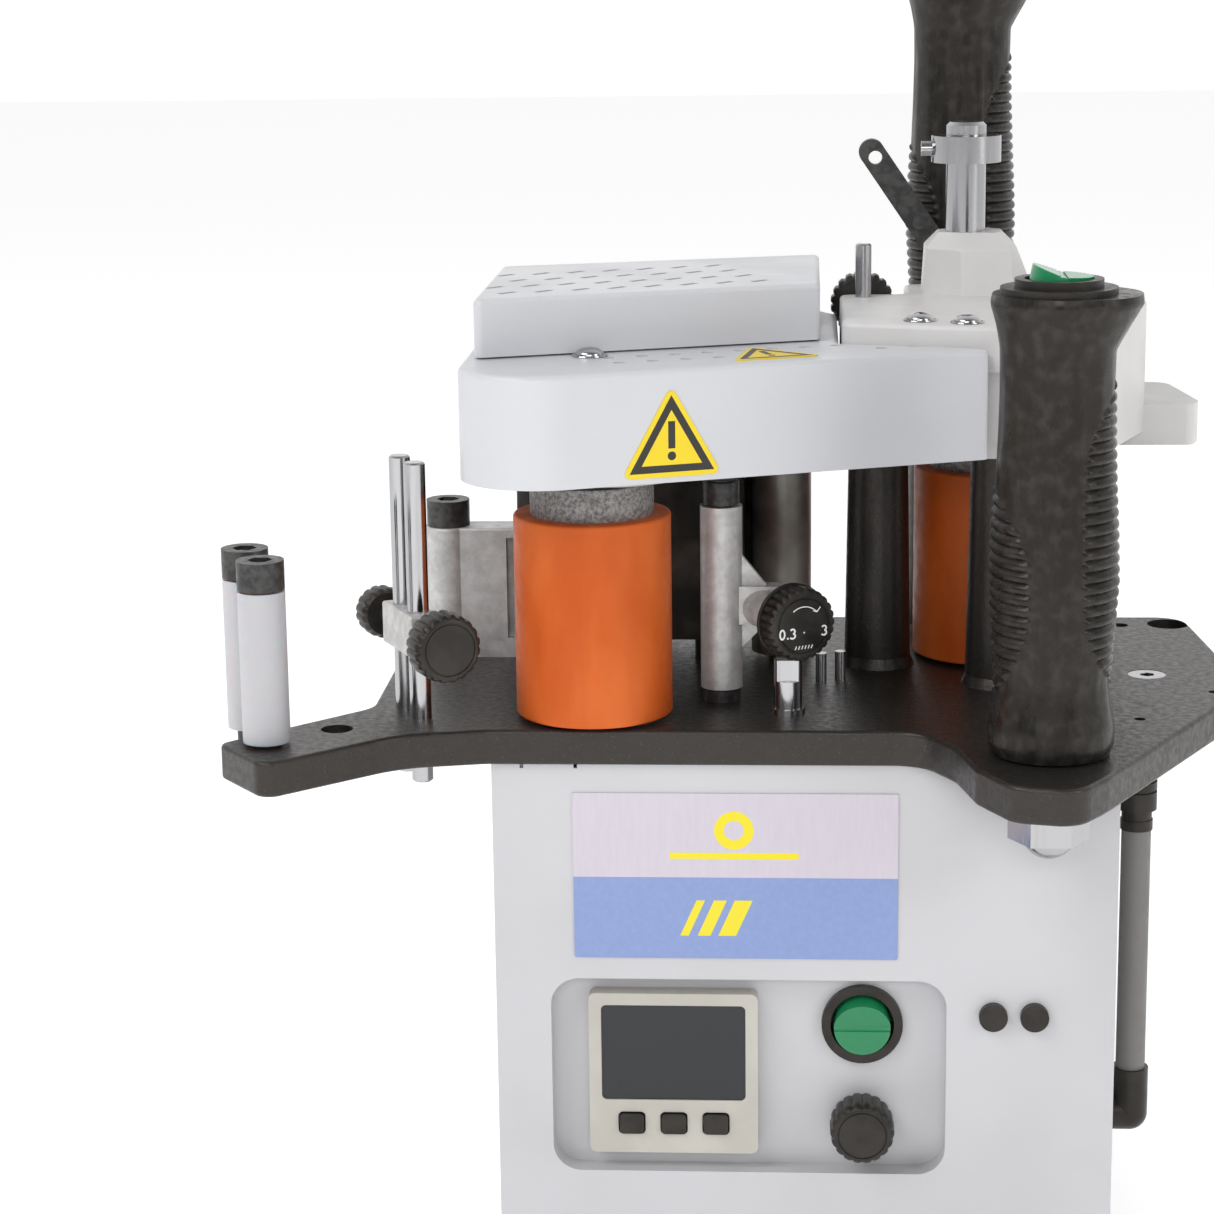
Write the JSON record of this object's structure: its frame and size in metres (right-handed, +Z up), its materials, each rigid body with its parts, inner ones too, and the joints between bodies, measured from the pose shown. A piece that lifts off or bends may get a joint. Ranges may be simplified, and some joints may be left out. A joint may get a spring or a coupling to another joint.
{
  "type": "edge banding machine",
  "caption": "Bench edge bander with a cast plate over a control box, geared feed, press and glue rollers, tape guides, covers and two upright grips.",
  "frame": {"origin": "on the ground under the middle of the whole machine", "axes": "+X to the operator's right, +Y away from the operator, +Z up"},
  "size_m": [0.2869, 0.2349, 0.3619],
  "materials": {
    "plate_black": "fine textured black enamel on cast metal",
    "box_white": "smooth light grey-white powder coat on sheet steel",
    "cover_white": "cool white powder coat on folded sheet steel",
    "casting_white": "white enamel on cast aluminium",
    "grip_black": "soft moulded black grip",
    "knob_black": "moulded black plastic",
    "switch_black": "moulded black plastic",
    "rubber_black": "moulded rubber",
    "rocker_green": "translucent green plastic",
    "bezel_beige": "moulded beige plastic",
    "window_dark": "dark clear plastic window",
    "steel": "turned steel",
    "chrome": "bright plated steel",
    "black_oxide": "blackened steel",
    "cast_alu": "as-cast aluminium with a blasted skin",
    "hub_cast": "rough grey cast iron",
    "sleeve_orange": "cast orange polyurethane",
    "nylon": "translucent white nylon",
    "bronze": "sintered bronze",
    "board_green": "circuit board",
    "label_silver": "printed foil",
    "sign_yellow": "printed yellow foil",
    "cable_grey": "grey-brown cable sheath"
  },
  "bodies": {
    "machine": {"base_plate": "plate_black", "control_box": "box_white", "front_panel": "box_white", "control_recess": "box_white", "rubber_feet": "rubber_black", "temperature_controller": "bezel_beige", "controller_window": "window_dark", "switch_frames": "switch_black", "panel_fittings": "switch_black", "mains_inlet": "switch_black", "label_plate": "label_silver", "drive_board": "board_green", "gear_motor": "steel", "upper_casting": "casting_white", "support_columns": "plate_black", "shaft_bearings": "bronze", "idler_studs": "steel", "lower_cover": "cover_white", "cover_screws": "chrome", "glue_pot": "cast_alu", "heater_cartridges": "steel", "fence_block": "cast_alu", "guide_screws": "black_oxide", "guide_pins": "chrome", "swivel_post": "black_oxide", "front_grip": "grip_black", "grip_collars": "knob_black", "handle_studs": "chrome", "rear_grip": "grip_black", "mast": "chrome", "stay_bar": "black_oxide", "cable_glands": "knob_black", "switch_cable": "cable_grey", "hazard_signs": "sign_yellow"},
    "feed_roller": {"feed_sleeve": "sleeve_orange", "feed_core": "hub_cast", "feed_gear": "steel"},
    "press_roller": {"press_sleeve": "sleeve_orange", "press_core": "hub_cast", "press_gear": "steel"},
    "drive": {"drive_shaft": "steel"},
    "idler_a": {"idler_gear_a": "steel"},
    "idler_b": {"idler_gear_b": "steel"},
    "glue": {"glue_roller": "steel"},
    "nylon_a": {"nylon_roller_a": "nylon"},
    "nylon_b": {"nylon_roller_b": "nylon"},
    "guide": {"height_guide": "cast_alu"},
    "guide_knob_front": {"clamp_knob_front": "knob_black"},
    "guide_knob_back": {"clamp_knob_back": "knob_black"},
    "arm": {"thickness_arm": "cast_alu"},
    "dial": {"dial_knob": "knob_black"},
    "panel_switch": {"power_rocker": "rocker_green"},
    "handle_switch": {"handle_rocker": "rocker_green"},
    "speed": {"speed_knob": "knob_black"},
    "key_1": {"controller_key_1": "knob_black"},
    "key_2": {"controller_key_2": "knob_black"},
    "key_3": {"controller_key_3": "knob_black"},
    "hood": {"upper_cover": "cover_white"},
    "stop": {"stop_rod": "chrome"},
    "stop_knob": {"rod_clamp_knob": "knob_black"}
  },
  "joints": [
    {"name": "press_spin", "type": "hinge", "parent": "machine", "child": "press_roller", "pos_m": [0.07144, 0.03171, 0.19], "axis": [0, 0, 1], "continuous": true},
    {"name": "feed_spin", "type": "hinge", "parent": "machine", "child": "feed_roller", "pos_m": [-0.04236, -0.04219, 0.19], "axis": [0, 0, 1], "continuous": true},
    {"name": "drive_spin", "type": "hinge", "parent": "machine", "child": "drive", "pos_m": [0.03841, 0.0187, 0.19], "axis": [0, 0, 1], "continuous": true},
    {"name": "idler_a_spin", "type": "hinge", "parent": "machine", "child": "idler_a", "pos_m": [0.0123, 0.00295, 0.24], "axis": [0, 0, 1], "continuous": true},
    {"name": "idler_b_spin", "type": "hinge", "parent": "machine", "child": "idler_b", "pos_m": [-0.0075, -0.02469, 0.24], "axis": [0, 0, 1], "continuous": true},
    {"name": "glue_spin", "type": "hinge", "parent": "machine", "child": "glue", "pos_m": [0.00964, 0.02881, 0.19], "axis": [0, 0, 1], "continuous": true},
    {"name": "nylon_a_spin", "type": "hinge", "parent": "machine", "child": "nylon_a", "pos_m": [-0.12986, -0.07649, 0.18], "axis": [0, 0, 1], "continuous": true},
    {"name": "nylon_b_spin", "type": "hinge", "parent": "machine", "child": "nylon_b", "pos_m": [-0.13696, -0.06059, 0.18], "axis": [0, 0, 1], "continuous": true},
    {"name": "guide_height", "type": "slide", "parent": "machine", "child": "guide", "axis": [0, 0, 1], "range_m": [-0.013, 0.034]},
    {"name": "guide_knob_front_turn", "type": "hinge", "parent": "guide", "child": "guide_knob_front", "pos_m": [-0.09116, -0.04729, 0.1845], "axis": [0.4711, -0.8821, 0], "range_deg": [-180, 180]},
    {"name": "guide_knob_back_turn", "type": "hinge", "parent": "guide", "child": "guide_knob_back", "pos_m": [-0.09676, -0.03619, 0.1845], "axis": [-0.4711, 0.8821, 0], "range_deg": [-180, 180]},
    {"name": "arm_swing", "type": "hinge", "parent": "machine", "child": "arm", "pos_m": [-0.00696, -0.02489, 0.19], "axis": [0, 0, 1], "range_deg": [-6, 6], "stiffness_Nm_per_rad": 0.3},
    {"name": "dial_turn", "type": "hinge", "parent": "arm", "child": "dial", "pos_m": [0.00964, -0.03619, 0.187], "axis": [0.4711, -0.8821, 0], "range_deg": [0, 270]},
    {"name": "panel_switch_rock", "type": "hinge", "parent": "machine", "child": "panel_switch", "pos_m": [0.03314, -0.05219, 0.072], "axis": [1, 0, 0], "range_deg": [-24, 0]},
    {"name": "handle_switch_rock", "type": "hinge", "parent": "machine", "child": "handle_switch", "pos_m": [0.08224, -0.08119, 0.2846], "axis": [0, 1, 0], "range_deg": [-24, 0]},
    {"name": "speed_turn", "type": "hinge", "parent": "machine", "child": "speed", "pos_m": [0.03314, -0.05219, 0.043], "axis": [0, 1, 0], "range_deg": [-140, 140]},
    {"name": "key_1_press", "type": "slide", "parent": "machine", "child": "key_1", "axis": [0, 1, 0], "range_m": [0, 0.0009], "stiffness_N_per_m": 400, "springref_m": -0.0004},
    {"name": "key_2_press", "type": "slide", "parent": "machine", "child": "key_2", "axis": [0, 1, 0], "range_m": [0, 0.0009], "stiffness_N_per_m": 400, "springref_m": -0.0004},
    {"name": "key_3_press", "type": "slide", "parent": "machine", "child": "key_3", "axis": [0, 1, 0], "range_m": [0, 0.0009], "stiffness_N_per_m": 400, "springref_m": -0.0004},
    {"name": "hood_open", "type": "hinge", "parent": "machine", "child": "hood", "pos_m": [-0.07392, 0.03479, 0.262], "axis": [-0.9601, -0.2798, 0], "range_deg": [0, 95]},
    {"name": "stop_rod_height", "type": "slide", "parent": "machine", "child": "stop", "axis": [0, 0, 1], "range_m": [-0.008, 0.012]},
    {"name": "stop_knob_turn", "type": "hinge", "parent": "machine", "child": "stop_knob", "pos_m": [0.03414, 0.05281, 0.2635], "axis": [0, 1, 0], "range_deg": [-180, 180]}
  ],
  "couplings": [
    {"joint": "feed_spin", "follows": "press_spin", "ratio": 1},
    {"joint": "drive_spin", "follows": "press_spin", "ratio": -1.6296},
    {"joint": "idler_a_spin", "follows": "press_spin", "ratio": 1.2941},
    {"joint": "idler_b_spin", "follows": "press_spin", "ratio": -1.2941},
    {"joint": "glue_spin", "follows": "press_spin", "ratio": -2.4444}
  ]
}
